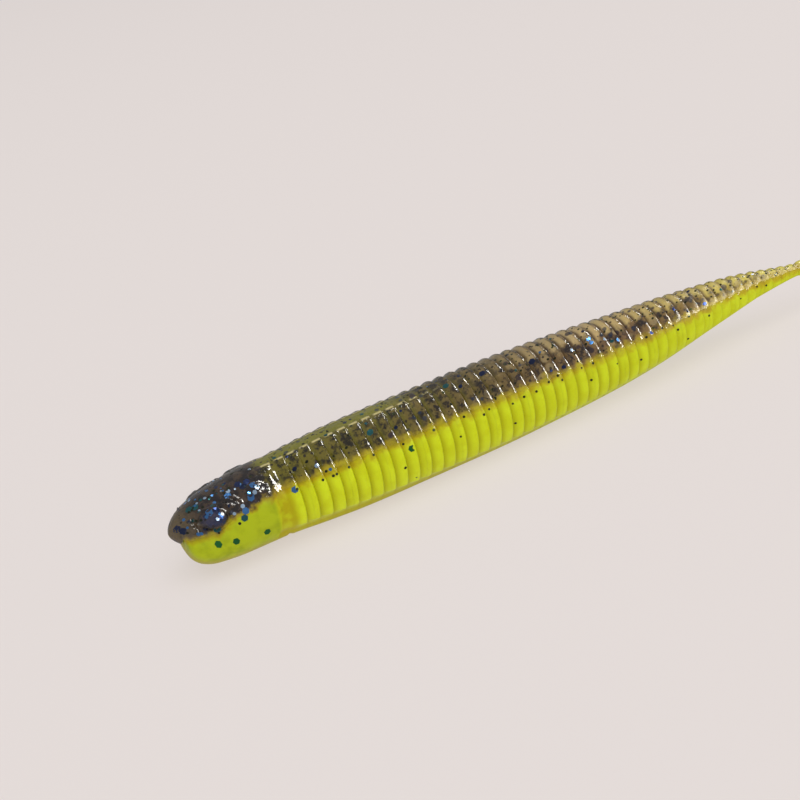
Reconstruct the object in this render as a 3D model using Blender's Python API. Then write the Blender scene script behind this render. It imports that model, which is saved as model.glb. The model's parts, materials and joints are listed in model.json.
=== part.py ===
"""Ringed soft-plastic fishing worm, 100 mm long, poured in two colours.

The lure lies along X with the snout at -X and the tail at +X, belly down on Z = 0 and the
origin under the middle of its length. It is two pours fused in one mould: a translucent
brown-olive back over an opaque chartreuse belly. The soft body bends at its rib grooves,
so both pours are divided there into a head, fifteen blocks of three ribs and a tail. The
grooves between the blocks work as living hinges: most swing sideways, every third one
nods up and down. Each block's ends are V-cut round its hinge axis, to leave it room.
"""

import math

import bmesh
import bpy
from mathutils import Vector

MM = 0.001
LENGTH = 100 * MM
CENTRE_HEIGHT = 5.2 * MM  # the body's axis above the ground
TAIL_LIFT = 0.85 * MM  # and how far it rises in the thin tail's shallow arch
PITCH = 1.64 * MM  # from one rib to the next
RIBS_PER_BLOCK = 3
BLOCKS = 15
TAIL_RIBS = 3
RIBS = RIBS_PER_BLOCK * BLOCKS + TAIL_RIBS

GILL = 12.2 * MM  # distances along the body are counted from the snout
FIRST_RIB = 13.5 * MM
NECK_HINGE = (GILL + FIRST_RIB) / 2 + 0.15 * MM
NECK_DEPTH = 0.45 * MM
JAW_OVERHANG = 1.15 * MM  # the upper jaw reaches this far past the lower one

# Distance from the snout and radius over the ribs, in millimetres.
BODY_PROFILE = (
    (8, 4.85), (12, 4.85), (14.7, 4.97), (18, 5.22), (23, 5.48), (33, 5.57), (43, 5.55),
    (51, 5.28), (57, 5.0), (63, 4.58), (69, 4.05), (75, 3.3), (81, 2.5), (85, 1.88),
    (89, 1.3), (92.4, 0.92), (93.3, 1.04), (96.5, 0.72), (100, 0.0),
)
HEAD_RADIUS = 4.85 * MM
SNOUT_LIFT = 0.7 * MM  # the middle of the snout above the body's axis
NOSE_LENGTH = 12.5 * MM  # the top of the head slopes down to the snout
NOSE_POWER = 0.58
JAW_RADIUS = 4.85 * MM
JAW_LENGTH = 3.2 * MM  # the lower jaw is blunt
JAW_POWER = 0.2
LIP_SHARE = 0.92  # the upper lip's radius below, as a share of its radius above

BACK_GROOVE = 1.2 * MM
FLANK_GROOVE = 0.6 * MM
FLANK_SHARE = 0.24  # the deepest a groove may be in the thin tail, as shares of its radius
BACK_SHARE = 0.36
SMOOTH_BELLY = -34  # degrees from the equator: the ribs end here over a smooth belly
SMOOTH_BACK = 9  # half the angle of the smooth strip along the front of the back
SMOOTH_BACK_END = FIRST_RIB + 12 * PITCH
RIB_FRONT = 0.2  # where the rib's face starts and ends, as shares of the pitch
RIB_REAR = 0.86

EYE = (4.7 * MM, 30)  # distance from the snout, and degrees above the equator
EYE_HALF_LENGTH = 1.6 * MM
EYE_HALF_HEIGHT = 1.15 * MM
EYE_RISE = 0.42 * MM
BROW_RISE = 0.26 * MM
TEMPLE = (10.1 * MM, 46)
TEMPLE_RISE = 0.3 * MM

SEAM_SHARE = 0.39  # height of the colour seam above the axis, as a share of the radius
GILL_SEAM = 1.95 * MM  # height of the seam above the axis at the gill cover's edge
MOUTH_DROP = 0.8 * MM  # it runs down to this far below the axis at the snout
TIP_SEAM = -0.2 * MM  # and to just below it at the tip of the tail
PART_GAP = 0.3 * MM
HEAD_SIDES = 40
BODY_SIDES = 20

YAW_LIMIT = 25  # degrees each way at one groove
PITCH_LIMIT = 15

BACK = ("brown_olive_back", (0.105, 0.082, 0.036, 1), 0.25)
BELLY = ("chartreuse_belly", (0.52, 0.62, 0.03, 1), 0.3)


def clear_scene():
    for obj in list(bpy.data.objects):
        bpy.data.objects.remove(obj, do_unlink=True)


def material(name, colour, roughness):
    made = bpy.data.materials.new(name)
    made.use_nodes = True
    shader = made.node_tree.nodes["Principled BSDF"]
    shader.inputs["Base Color"].default_value = colour
    shader.inputs["Roughness"].default_value = roughness
    shader.inputs["Metallic"].default_value = 0.0
    made.diffuse_color = colour
    return made


def smooth(value, low, high):
    """0 below low, 1 above high, and an even S between."""
    share = min(max((value - low) / (high - low), 0.0), 1.0)
    return share * share * (3 - 2 * share)


def profile_radius(along):
    """Radius over the ribs behind the nose: a smooth curve through the profile's points."""
    at = along / MM
    points = BODY_PROFILE
    index = 0
    while index < len(points) - 2 and at > points[index + 1][0]:
        index += 1
    before, start, end = points[max(index - 1, 0)], points[index], points[index + 1]
    after = points[min(index + 2, len(points) - 1)]
    span = end[0] - start[0]
    share = min(max((at - start[0]) / span, 0.0), 1.0)
    rise_in = (end[1] - before[1]) / (end[0] - before[0]) * span
    rise_out = (after[1] - start[1]) / (after[0] - start[0]) * span
    square, cube = share**2, share**3
    return MM * (
        (2 * cube - 3 * square + 1) * start[1]
        + (cube - 2 * square + share) * rise_in
        + (3 * square - 2 * cube) * end[1]
        + (cube - square) * rise_out
    )


def centre_height(along):
    """The axis is level, but rises to the snout and arches a little in the thin tail."""
    lift = SNOUT_LIFT * (1 - smooth(along, 0, 8 * MM))
    arch = smooth(along, 60 * MM, 84 * MM) * min((LENGTH - along) / (15 * MM), 1)
    return CENTRE_HEIGHT + lift + TAIL_LIFT * arch


def rounded(along, length, power):
    """0 at the front of a rounded end and 1 where it has reached its full width."""
    share = min(max(along / length, 0.0), 1.0)
    return (1 - (1 - share) ** 2) ** power


def nose_radius(along):
    return HEAD_RADIUS * rounded(along, NOSE_LENGTH, NOSE_POWER)


def crest_radius(along, degrees):
    """Radius of the smooth outer form. The lower jaw starts behind the upper one."""
    if along >= NOSE_LENGTH:
        return profile_radius(along)
    upper = nose_radius(along)
    lower = JAW_RADIUS * rounded(along - JAW_OVERHANG, JAW_LENGTH, JAW_POWER)
    lower = max(lower, LIP_SHARE * upper)
    return lower + (upper - lower) * smooth(degrees, -35, 15)


def groove_depth(along, degrees):
    """Depth of a rib groove: deep over the back, shallow on the flanks, none on the belly."""
    upward = smooth(degrees, 10, 70)
    depth = FLANK_GROOVE + (BACK_GROOVE - FLANK_GROOVE) * upward
    share = FLANK_SHARE + (BACK_SHARE - FLANK_SHARE) * upward
    depth = min(depth, share * profile_radius(along))
    depth *= smooth(degrees, SMOOTH_BELLY - 12, SMOOTH_BELLY + 6)
    from_top = 90 - degrees
    strip = 1 - smooth(from_top, SMOOTH_BACK, SMOOTH_BACK + 8)
    strip *= 1 - smooth(along, SMOOTH_BACK_END - 2 * PITCH, SMOOTH_BACK_END)
    return depth * (1 - strip)


def neck_depth(along, degrees):
    """The step down behind the gill cover's edge, on the flanks only."""
    inside = smooth(along, GILL, GILL + 0.2 * MM) if along < FIRST_RIB else 0.0
    flank = smooth(degrees, -60, -40) * (1 - smooth(degrees, 55, 72))
    return NECK_DEPTH * inside * flank


def head_relief(along, degrees):
    """Rise of the eye, the brow round it and the temple pad behind it."""
    radius = nose_radius(along)
    up = radius * math.radians(degrees - EYE[1])
    forward = along - EYE[0]
    ring = math.hypot(forward / EYE_HALF_LENGTH, up / EYE_HALF_HEIGHT)
    eye = EYE_RISE * math.sqrt(max(1 - ring * ring, 0.0))
    above = smooth(forward / EYE_HALF_LENGTH + up / EYE_HALF_HEIGHT, -0.4, 0.6)
    brow = BROW_RISE * above * math.exp(-(((ring - 1.5) / 0.3) ** 2))
    pad_along = (along - TEMPLE[0]) / (2.6 * MM)
    pad_up = radius * math.radians(degrees - TEMPLE[1]) / (1.6 * MM)
    temple = TEMPLE_RISE * (1 - smooth(math.hypot(pad_along, pad_up), 0.55, 1.15))
    return eye + brow + temple


def ring_points(along, in_groove, sides):
    """One cross-section of the body, counted round from the top."""
    points = []
    for side in range(sides):
        turn = 2 * math.pi * side / sides
        degrees = math.degrees(math.asin(math.cos(turn)))
        radius = crest_radius(along, degrees) - neck_depth(along, degrees)
        if in_groove:
            radius -= groove_depth(along, degrees)
        if along < GILL:
            radius += head_relief(along, degrees)
        points.append(
            Vector(
                (
                    along - LENGTH / 2,
                    radius * math.sin(turn),
                    centre_height(along) + radius * math.cos(turn),
                )
            )
        )
    return points


def head_stations():
    """Distances of the head's sections, close together on the round snout."""
    steps = 22
    nose = [GILL * (1 - math.cos(math.pi / 2 * step / steps)) for step in range(1, steps + 1)]
    return [(along, False) for along in nose] + [
        (GILL + 0.2 * MM, False),
        (FIRST_RIB, False),
    ]


def body_stations():
    """The neck, then each rib's front and rear edge with a groove behind it, then the tip."""
    stations = [(GILL + 0.2 * MM, False), (FIRST_RIB - 0.1 * MM, False)]
    for rib in range(RIBS):
        start = FIRST_RIB + rib * PITCH
        stations.append((start + RIB_FRONT * PITCH, False))
        stations.append((start + RIB_REAR * PITCH, False))
        stations.append((start + PITCH, True))
    tip = (93.3 * MM, 94.9 * MM, 96.5 * MM, 98 * MM, 99.3 * MM)
    return stations + [(along, False) for along in tip]


def loft(stations, sides, tip_front, tip_back):
    """A closed skin through the sections. An end with a tip comes to a point."""
    skin = bmesh.new()
    rings = []
    for along, in_groove in stations:
        points = ring_points(along, in_groove, sides)
        rings.append([skin.verts.new(point) for point in points])
    for front, back in zip(rings, rings[1:]):
        for side in range(sides):
            after = (side + 1) % sides
            skin.faces.new((front[side], front[after], back[after], back[side]))
    close_end(skin, rings[0], tip_front)
    close_end(skin, list(reversed(rings[-1])), tip_back)
    bmesh.ops.recalc_face_normals(skin, faces=skin.faces)
    return skin


def close_end(skin, ring, tip):
    if tip is None:
        skin.faces.new(ring)
        return
    point = skin.verts.new((tip - LENGTH / 2, 0, centre_height(tip)))
    for first, second in zip(ring, ring[1:] + ring[:1]):
        skin.faces.new((first, second, point))


def keep_side(skin, point, normal):
    """Cuts the solid with a plane, keeps what the normal points at, and caps the cut."""
    everything = skin.verts[:] + skin.edges[:] + skin.faces[:]
    bmesh.ops.bisect_plane(
        skin, geom=everything, plane_co=point, plane_no=normal, dist=1e-9, clear_inner=True
    )
    rim = [edge for edge in skin.edges if edge.is_boundary]
    bmesh.ops.triangle_fill(skin, edges=rim, use_beauty=True, normal=-normal)
    bmesh.ops.recalc_face_normals(skin, faces=skin.faces)


def hinge_limit(hinge):
    return YAW_LIMIT if is_yaw(hinge) else PITCH_LIMIT


def is_yaw(hinge):
    """Every third hinge, from the second on, nods. The others swing sideways."""
    return hinge % 3 != 1


def hinge_place(hinge):
    """Distance from the snout of a hinge. The first is in the neck."""
    if hinge == 0:
        return NECK_HINGE
    return FIRST_RIB + hinge * RIBS_PER_BLOCK * PITCH


def hinge_point(hinge):
    along = hinge_place(hinge)
    return Vector((along - LENGTH / 2, 0, centre_height(along)))


def cut_at_hinge(skin, hinge, ahead):
    """V-cuts one end of a block, so that it clears its neighbour as far as the hinge goes.

    ahead is 1 for the block behind the hinge and -1 for the one in front of it.
    """
    slope = math.tan(math.radians(hinge_limit(hinge) / 2))
    point = hinge_point(hinge) + Vector((ahead * PART_GAP / 2, 0, 0))
    for side in (-1, 1):
        if is_yaw(hinge):
            normal = Vector((ahead, side * slope, 0))
        else:
            normal = Vector((ahead, 0, side * slope))
        keep_side(skin, point, normal.normalized())


def seam_plane(body):
    """A point on the colour seam of a block, and the seam's normal, which points up."""
    front, rear = block_ends(body)
    low = -MOUTH_DROP if body == 0 else SEAM_SHARE * profile_radius(front)
    high = SEAM_SHARE * profile_radius(rear)
    if body == 0:
        high = GILL_SEAM
    if body > BLOCKS:
        high = TIP_SEAM
    low += CENTRE_HEIGHT if body == 0 else centre_height(front)
    high += centre_height(rear)
    run = Vector((rear - front, 0, high - low)).normalized()
    point = Vector((front - LENGTH / 2, 0, low))
    return point, Vector((-run.z, 0, run.x))


def block_ends(body):
    """Distances from the snout where a block's length of the seam starts and ends."""
    if body == 0:
        return 0.0, GILL
    if body > BLOCKS:
        return hinge_place(body - 1), LENGTH
    return hinge_place(body - 1), hinge_place(body)


def block_skin(body, head, whole):
    """The block between its hinges, still in one colour, flat where it would pass the floor."""
    skin = head.copy() if body == 0 else whole.copy()
    if body > 0:
        cut_at_hinge(skin, body - 1, 1)
    if body <= BLOCKS:
        cut_at_hinge(skin, body, -1)
    if min(vert.co.z for vert in skin.verts) < 0:
        keep_side(skin, Vector((0, 0, 0)), Vector((0, 0, 1)))
    return skin


def add_node(name, skin, parent, look):
    """Makes the block's mesh an object whose origin is its parent's, on the hinge axis."""
    bmesh.ops.translate(skin, verts=skin.verts, vec=-parent.matrix_world.translation)
    mesh = bpy.data.meshes.new(name)
    skin.to_mesh(mesh)
    skin.free()
    mesh.materials.append(look)
    mesh.shade_smooth()
    mesh.set_sharp_from_angle(angle=math.radians(35))
    node = bpy.data.objects.new(name, mesh)
    node.parent = parent
    bpy.context.collection.objects.link(node)


def add_layers(label, body, skin, parent, looks):
    """Divides a block along the colour seam into its back and its belly."""
    point, up = seam_plane(body)
    belly = skin.copy()
    keep_side(skin, point + up * PART_GAP / 2, up)
    keep_side(belly, point - up * PART_GAP / 2, -up)
    if body == 0:
        mouth = Vector((JAW_OVERHANG - LENGTH / 2, 0, 0))
        keep_side(belly, mouth, Vector((1, 0, 0)))
    add_node(f"{label}_back", skin, parent, looks[0])
    add_node(f"{label}_belly", belly, parent, looks[1])


def add_hinge(name, place, parent):
    """An empty on a hinge's axis, which the block behind the hinge hangs on."""
    hinge = bpy.data.objects.new(name, None)
    hinge.empty_display_size = 2 * MM
    bpy.context.collection.objects.link(hinge)
    hinge.parent = parent
    inherited = parent.matrix_world.translation if parent else Vector((0, 0, 0))
    hinge.location = place - inherited
    bpy.context.view_layer.update()
    return hinge


def block_label(body):
    if body == 0:
        return "head"
    if body > BLOCKS:
        return "tail"
    return f"ribs_{body:02d}"


def build():
    clear_scene()
    looks = (material(*BACK), material(*BELLY))
    head = loft(head_stations(), HEAD_SIDES, 0.0, None)
    whole = loft(body_stations(), BODY_SIDES, None, LENGTH)
    carrier = add_hinge("lure", Vector((0, 0, 0)), None)
    for body in range(BLOCKS + 2):
        if body > 0:
            carrier = add_hinge(f"hinge_{body:02d}", hinge_point(body - 1), carrier)
        skin = block_skin(body, head, whole)
        add_layers(block_label(body), body, skin, carrier, looks)
    head.free()
    whole.free()


build()
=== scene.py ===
"""The ringed soft-plastic worm as it looks: skin, ribs, head, colours and glitter flakes.

All lengths in this file are in millimetres until a mesh or an object is made. "Along" is a
distance from the snout, "turn" an angle round the body from the middle of the back, and
"degrees" the same place as an angle above the body's widest line: 90 on top, -90 below.

The skin is made in sections. Each one crosses one hinge of the frame, and the sections meet
in the middle of a rib.
"""

import json
import math

import bmesh
import bpy
import numpy as np
from mathutils import Matrix, Vector

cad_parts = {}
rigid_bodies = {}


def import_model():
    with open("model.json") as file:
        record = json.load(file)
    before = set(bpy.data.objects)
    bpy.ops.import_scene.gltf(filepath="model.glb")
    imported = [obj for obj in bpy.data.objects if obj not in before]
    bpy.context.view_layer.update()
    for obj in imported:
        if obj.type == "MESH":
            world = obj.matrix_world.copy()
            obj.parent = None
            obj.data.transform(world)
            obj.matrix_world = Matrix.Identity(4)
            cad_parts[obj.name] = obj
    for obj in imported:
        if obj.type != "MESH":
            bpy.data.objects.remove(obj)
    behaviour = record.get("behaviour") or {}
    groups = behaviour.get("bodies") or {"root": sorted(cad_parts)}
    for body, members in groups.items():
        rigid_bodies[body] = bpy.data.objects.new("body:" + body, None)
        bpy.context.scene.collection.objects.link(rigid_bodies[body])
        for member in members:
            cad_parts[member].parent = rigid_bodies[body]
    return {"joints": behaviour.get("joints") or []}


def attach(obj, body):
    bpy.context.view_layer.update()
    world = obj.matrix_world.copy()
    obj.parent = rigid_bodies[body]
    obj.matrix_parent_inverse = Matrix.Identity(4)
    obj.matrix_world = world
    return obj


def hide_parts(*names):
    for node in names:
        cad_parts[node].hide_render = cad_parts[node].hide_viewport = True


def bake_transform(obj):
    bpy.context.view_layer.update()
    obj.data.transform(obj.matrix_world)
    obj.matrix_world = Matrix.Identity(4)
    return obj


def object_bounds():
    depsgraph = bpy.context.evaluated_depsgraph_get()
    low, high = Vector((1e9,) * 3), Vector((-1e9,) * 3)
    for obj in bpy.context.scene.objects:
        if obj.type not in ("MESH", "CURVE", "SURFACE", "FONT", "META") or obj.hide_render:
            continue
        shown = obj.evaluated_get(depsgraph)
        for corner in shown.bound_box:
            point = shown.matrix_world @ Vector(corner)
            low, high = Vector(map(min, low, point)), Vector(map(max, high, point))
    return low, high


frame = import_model()
CAD_BOX = [list(corner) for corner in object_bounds()]

MM = 0.001
SNOUT = CAD_BOX[0][0] / MM
LENGTH = (CAD_BOX[1][0] - CAD_BOX[0][0]) / MM
JOINTS = frame["joints"]  # in order, from the neck to the tail
HINGES = [joint["pos_m"][0] / MM - SNOUT for joint in JOINTS]
RIBS_PER_BLOCK = 3
BLOCK = HINGES[2] - HINGES[1]
PITCH = BLOCK / RIBS_PER_BLOCK
FIRST_RIB = HINGES[1] - BLOCK
RIBS = RIBS_PER_BLOCK * len(JOINTS)

# The outer form, the same as the frame's.
CENTRE_HEIGHT = JOINTS[0]["pos_m"][2] / MM
TAIL_LIFT = 0.85
BODY_PROFILE = (
    (8, 4.85), (12, 4.85), (14.7, 4.97), (18, 5.22), (23, 5.48), (33, 5.57), (43, 5.55),
    (51, 5.28), (57, 5.0), (63, 4.58), (69, 4.05), (75, 3.3), (81, 2.5), (85, 1.88),
    (89, 1.3), (92.4, 0.92), (93.3, 1.04), (96.5, 0.72), (100, 0.0),
)
HEAD_RADIUS = 4.85
SNOUT_LIFT = 0.7
NOSE_LENGTH = 12.5
NOSE_POWER = 0.58
JAW_START = 1.15
JAW_RADIUS = 4.85
JAW_LENGTH = 3.2
JAW_POWER = 0.2
LIP_SHARE = 0.92  # the upper lip's radius below, as a share of its radius above

# The ribs.
FLANK_GROOVE = 0.38
FLANK_SHARE = 0.07  # the deepest a groove may be, as shares of the radius
FLANK_TO_BACK = (12, 62)  # degrees between which the flank's depth turns into the back's
BACK_GROOVE = (0.72, 1.0)  # at the front and at the rear of the body
FRONT_TO_REAR = (35, 65)  # distances along between which the one turns into the other
BACK_SHARE = 0.42
BELLY_EASE = 0.2  # how much shallower the grooves end at the belly, as a share,
STRIP_EASE = 0.92  # beside the smooth strip along the front of the back,
BACK_EASE = 0.45  # and over the rest of the back
BELLY_FROM = (20, 40)  # degrees below the widest line where the belly's share sets in
TOP_FROM = (45, 74)  # degrees above it where the back's does
PAST_STRIP = (26, 42)  # distances along where the strip's share turns into the back's
REACH = 0.24  # a rib's rounded rear edge is this long, and longer by this share of its depth
FLANK_BULGE = 2.0  # how full a rib's face is on the flank: 1 is flat
BACK_BULGE = 1.3
BULGE_FROM = (5, 35)  # degrees between which the one turns into the other
EDGE_BULGE = 2.2  # and how full its rear edge is
RIB_END = (-41, -31)  # the ribs' lower ends round off between these degrees
KEEL = (45, 58)  # below the ribs the belly swells to the outer form between these
RIB_LONGER = 9  # the ribs behind the shoulders reach this many degrees lower
SHOULDERS = (20, 36)
STRIP_HALF = (7.5, 11)  # half the angle of the smooth strip along the back, and its edge
STRIP_DROP = 0.08
STRIP_END = FIRST_RIB + 12 * PITCH
NECK_DEPTH = 0.45
NECK_RUN = 0.9  # the neck drops to the first rib's groove over this length

# The gill cover's rear edge: where it is at mid height, and how it leans.
GILL = 12.2
GILL_TOP_LEAN = 0.35
GILL_LOW_LEAN = 0.95

# Degrees of the colour seam along the body. It starts at the mouth and rises to the gill.
SEAM = (
    (0.9, -95), (1.15, -18), (1.8, -8), (2.9, -1), (3.9, 0.5), (5, 4), (5.7, 11), (6.4, 17.5),
    (7.4, 20), (8.8, 21), (10, 27), (11.6, 30), (13, 31), (20, 29.5), (45, 27), (70, 25),
    (100, 26),
)


def smooth(value, low, high):
    """0 below low, 1 above high, and an even S between."""
    share = np.clip((value - low) / (high - low), 0, 1)
    return share * share * (3 - 2 * share)


def swell(gap, width):
    """1 where the gap is 0, and a soft fall to nothing on both sides."""
    return np.exp(-((gap / width) ** 2))


def curve(points, at):
    """Height at a distance of a smooth curve through the points."""
    xs, ys = np.array(points, float).T
    slopes = np.empty_like(ys)
    slopes[1:-1] = (ys[2:] - ys[:-2]) / (xs[2:] - xs[:-2])
    slopes[0] = (ys[1] - ys[0]) / (xs[1] - xs[0])
    slopes[-1] = (ys[-1] - ys[-2]) / (xs[-1] - xs[-2])
    index = np.clip(np.searchsorted(xs, at) - 1, 0, len(xs) - 2)
    span = xs[index + 1] - xs[index]
    share = np.clip((at - xs[index]) / span, 0, 1)
    square, cube = share**2, share**3
    return (
        (2 * cube - 3 * square + 1) * ys[index]
        + (cube - 2 * square + share) * span * slopes[index]
        + (3 * square - 2 * cube) * ys[index + 1]
        + (cube - square) * span * slopes[index + 1]
    )


def profile_radius(along):
    return np.maximum(curve(BODY_PROFILE, along), 0)


def centre_height(along):
    lift = SNOUT_LIFT * (1 - smooth(along, 0, 8))
    arch = smooth(along, 60, 84) * np.minimum((LENGTH - along) / 15, 1)
    return CENTRE_HEIGHT + lift + TAIL_LIFT * arch


def rounded(along, length, power):
    share = np.clip(along / length, 0, 1)
    return (1 - (1 - share) ** 2) ** power


def nose_radius(along):
    return HEAD_RADIUS * rounded(along, NOSE_LENGTH, NOSE_POWER)


def crest_radius(along, degrees):
    """Radius of the smooth outer form. The lower jaw starts behind the upper one."""
    upper = nose_radius(along)
    jaw = JAW_RADIUS + (HEAD_RADIUS - JAW_RADIUS) * smooth(along, 6, NOSE_LENGTH)
    lower = jaw * rounded(along - JAW_START, JAW_LENGTH, JAW_POWER)
    lower = np.maximum(lower, LIP_SHARE * upper)
    head = lower + (upper - lower) * smooth(degrees, -35, 15)
    return np.where(along < NOSE_LENGTH, head, profile_radius(along))


def seam_degrees(along):
    return curve(SEAM, along)


def groove_depth(along, degrees):
    """Depth of a rib groove: deep over the back, shallow on the flanks and belly."""
    radius = profile_radius(along)
    flank = np.minimum(FLANK_GROOVE, FLANK_SHARE * radius)
    front, rear = BACK_GROOVE
    deepest = front + (rear - front) * smooth(along, *FRONT_TO_REAR)
    back = np.minimum(deepest, BACK_SHARE * radius)
    depth = flank + (back - flank) * smooth(degrees, *FLANK_TO_BACK)
    top = STRIP_EASE + (BACK_EASE - STRIP_EASE) * smooth(along, *PAST_STRIP)
    belly = BELLY_EASE * smooth(-degrees, *BELLY_FROM)
    return depth * (1 - belly) * (1 - top * smooth(degrees, *TOP_FROM))


def rear_reach(depth):
    """Length of a rib's rounded rear edge and the steep wall behind it."""
    return REACH + REACH * depth


def rib_share(along, degrees):
    """0 at the bottom of a groove and 1 on a rib's rear ridge. The ribs are like shingles:
    each face climbs all the way back to its ridge, and the wall behind the ridge is steep."""
    depth = groove_depth(along, degrees)
    rib = np.clip(np.floor((along - FIRST_RIB) / PITCH + 1e-9), 0, RIBS)
    start = FIRST_RIB + rib * PITCH
    reach = rear_reach(depth)
    front = np.clip((along - start) / (PITCH - reach), 0, 1)
    rear = np.clip((start + PITCH - along) / reach, 0, 1)
    rear = np.where(rib >= RIBS, 1, rear)
    bulge = FLANK_BULGE - (FLANK_BULGE - BACK_BULGE) * smooth(degrees, *BULGE_FROM)
    return (1 - (1 - front) ** bulge) * (1 - (1 - rear) ** EDGE_BULGE)


def strip_share(along, degrees):
    """1 on the smooth strip along the front of the back."""
    across = 1 - smooth(90 - degrees, *STRIP_HALF)
    fade = 1 - smooth(along, STRIP_END - 3 * PITCH, STRIP_END)
    return across * fade * smooth(along, 11, 14)


def gill_edge(degrees):
    """Distance along of the gill cover's rear edge."""
    top = GILL_TOP_LEAN * smooth(degrees, 15, 60)
    low = GILL_LOW_LEAN * smooth(-degrees, -10, 50)
    return GILL + top - low


def flank_share(degrees):
    """1 where the gill cover stands off the neck, 0 on the back and the belly."""
    return smooth(degrees, -62, -42) * (1 - smooth(degrees, 38, 66))


def ridge(along, degrees, path, width, rise):
    """A fold along a path of (along, degrees) points, which fades at both ends."""
    points = np.array(path, float)
    scale = math.radians(1) * float(nose_radius(points[:, 0].mean()))
    points[:, 1] *= scale
    place = np.stack([along, degrees * scale], -1)
    lengths = np.hypot(*np.diff(points, axis=0).T)
    nearest = np.full(np.shape(along), 1e9)
    share = np.zeros(np.shape(along))
    for index, length in enumerate(lengths):
        start, end = points[index], points[index + 1]
        step = np.clip((place - start) @ (end - start) / length**2, 0, 1)
        gap = np.linalg.norm(place - start - step[..., None] * (end - start), axis=-1)
        closer = gap < nearest
        nearest = np.where(closer, gap, nearest)
        at = (lengths[:index].sum() + step * length) / lengths.sum()
        share = np.where(closer, at, share)
    taper = smooth(share, 0, 0.2) * (1 - smooth(share, 0.8, 1))
    return rise * taper * swell(nearest, width)


# Each fold of the head: its path as (along, degrees), its width and its rise.
FOLDS = (
    (((3.1, 41), (4.2, 48.5), (5.4, 48), (6.5, 44), (7.3, 38), (7.9, 31)), 0.27, 0.5),  # brow
    (((6.1, 57), (7.0, 51), (7.6, 43.5), (8.0, 34)), 0.14, 0.3),
    (((5.8, 63), (6.8, 58.5), (7.7, 51), (8.2, 43), (8.5, 34)), 0.14, 0.28),
    (((5.6, 43), (6.3, 38), (6.75, 30), (6.8, 22)), 0.13, 0.2),  # the rear corner of the eye
    (((3.0, 21), (4.2, 12), (5.6, 12), (6.8, 18)), 0.22, 0.12),  # lower lid
    (((2.3, 47), (2.35, 33), (2.45, 21), (2.75, 9)), 0.17, 0.36),  # lip fold
    (((2.62, 46), (2.68, 33), (2.78, 21), (3.05, 9)), 0.13, -0.22),  # and the crease behind
    (((8.7, 10), (9.7, 5), (10.7, 1), (11.5, -1)), 0.09, -0.07),  # cheek line
)
EYE = (4.75, 29)
EYE_HALF = (1.65, 1.15)
EYE_RISE = 0.62
EYE_DOME = 0.6  # below 1 the eye rises steeply from its outline and is flatter on top
SOCKET = 1.1  # the sunken ring round the eye, in shares of the eye's outline
SOCKET_WIDTH = 0.14
SOCKET_DEPTH = 0.22
NOSTRIL = (1.55, 26)
NOSTRIL_RADIUS = 0.3
NOSTRIL_DEPTH = 0.17
NOSTRIL_EDGE = 1.5  # the shallow ring round the nostril, in shares of its radius
NOSTRIL_EDGE_WIDTH = 0.4
NOSTRIL_EDGE_DEPTH = 0.05
TEMPLE = (10.1, 47)
TEMPLE_HALF = (1.7, 1.0)
TEMPLE_TILT = math.radians(-18)
TEMPLE_RISE = 0.32
TEMPLE_EDGE = (0.55, 1.15)
CROWN = (48, 60)  # above these degrees all this is fainter,
CROWN_EASE = 0.7  # by this share
FLAP_RIM = 0.07
FLAP_RIM_WIDTH = 0.28
LIPS_DEPTH = 0.26  # the groove between the lips
LIPS_WIDTH = 0.2
LIPS_START = (0.9, 1.3)
LIPS_END = (1.8, 3.4)
SNOUT_TIP = (0.25, 1.2)  # ahead of this the snout is plain


def local_place(along, degrees, centre, half, tilt=0.0):
    """Offset from a feature's centre as shares of its half length and half height."""
    forward = along - centre[0]
    up = float(nose_radius(centre[0])) * np.radians(degrees - centre[1])
    turned = forward * math.cos(tilt) + up * math.sin(tilt)
    raised = up * math.cos(tilt) - forward * math.sin(tilt)
    return turned / half[0], raised / half[1]


def eye_relief(along, degrees):
    """The domed eye and the sunken ring round it."""
    ring = np.hypot(*local_place(along, degrees, EYE, EYE_HALF))
    dome = EYE_RISE * np.maximum(1 - ring * ring, 0) ** EYE_DOME
    return dome - SOCKET_DEPTH * swell(ring - SOCKET, SOCKET_WIDTH)


def nostril_relief(along, degrees):
    """The nostril's pit and the shallow ring round it."""
    half = (NOSTRIL_RADIUS, NOSTRIL_RADIUS)
    pit = np.hypot(*local_place(along, degrees, NOSTRIL, half))
    edge = NOSTRIL_EDGE_DEPTH * swell(pit - NOSTRIL_EDGE, NOSTRIL_EDGE_WIDTH)
    return -NOSTRIL_DEPTH * swell(pit, 1) - edge


def temple_relief(along, degrees):
    """The raised pad behind the eye."""
    pad = np.hypot(*local_place(along, degrees, TEMPLE, TEMPLE_HALF, TEMPLE_TILT))
    return TEMPLE_RISE * (1 - smooth(pad, *TEMPLE_EDGE))


def lips_relief(along, degrees):
    """The groove between the lips, along the first part of the seam."""
    gap = (degrees - seam_degrees(along)) * math.radians(1) * nose_radius(along)
    share = smooth(along, *LIPS_START) * (1 - smooth(along, *LIPS_END))
    return -LIPS_DEPTH * share * swell(gap, LIPS_WIDTH)


def head_relief(along, degrees):
    """Rise of everything moulded on the head."""
    relief = eye_relief(along, degrees) + nostril_relief(along, degrees)
    relief = relief + temple_relief(along, degrees)
    for path, width, rise in FOLDS:
        relief = relief + ridge(along, degrees, path, width, rise)
    relief = relief * (1 - CROWN_EASE * smooth(degrees, *CROWN))
    ahead = gill_edge(degrees) - along
    relief = relief + FLAP_RIM * flank_share(degrees) * swell(ahead, FLAP_RIM_WIDTH)
    relief = relief + lips_relief(along, degrees)
    return relief * smooth(along, *SNOUT_TIP)


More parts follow.
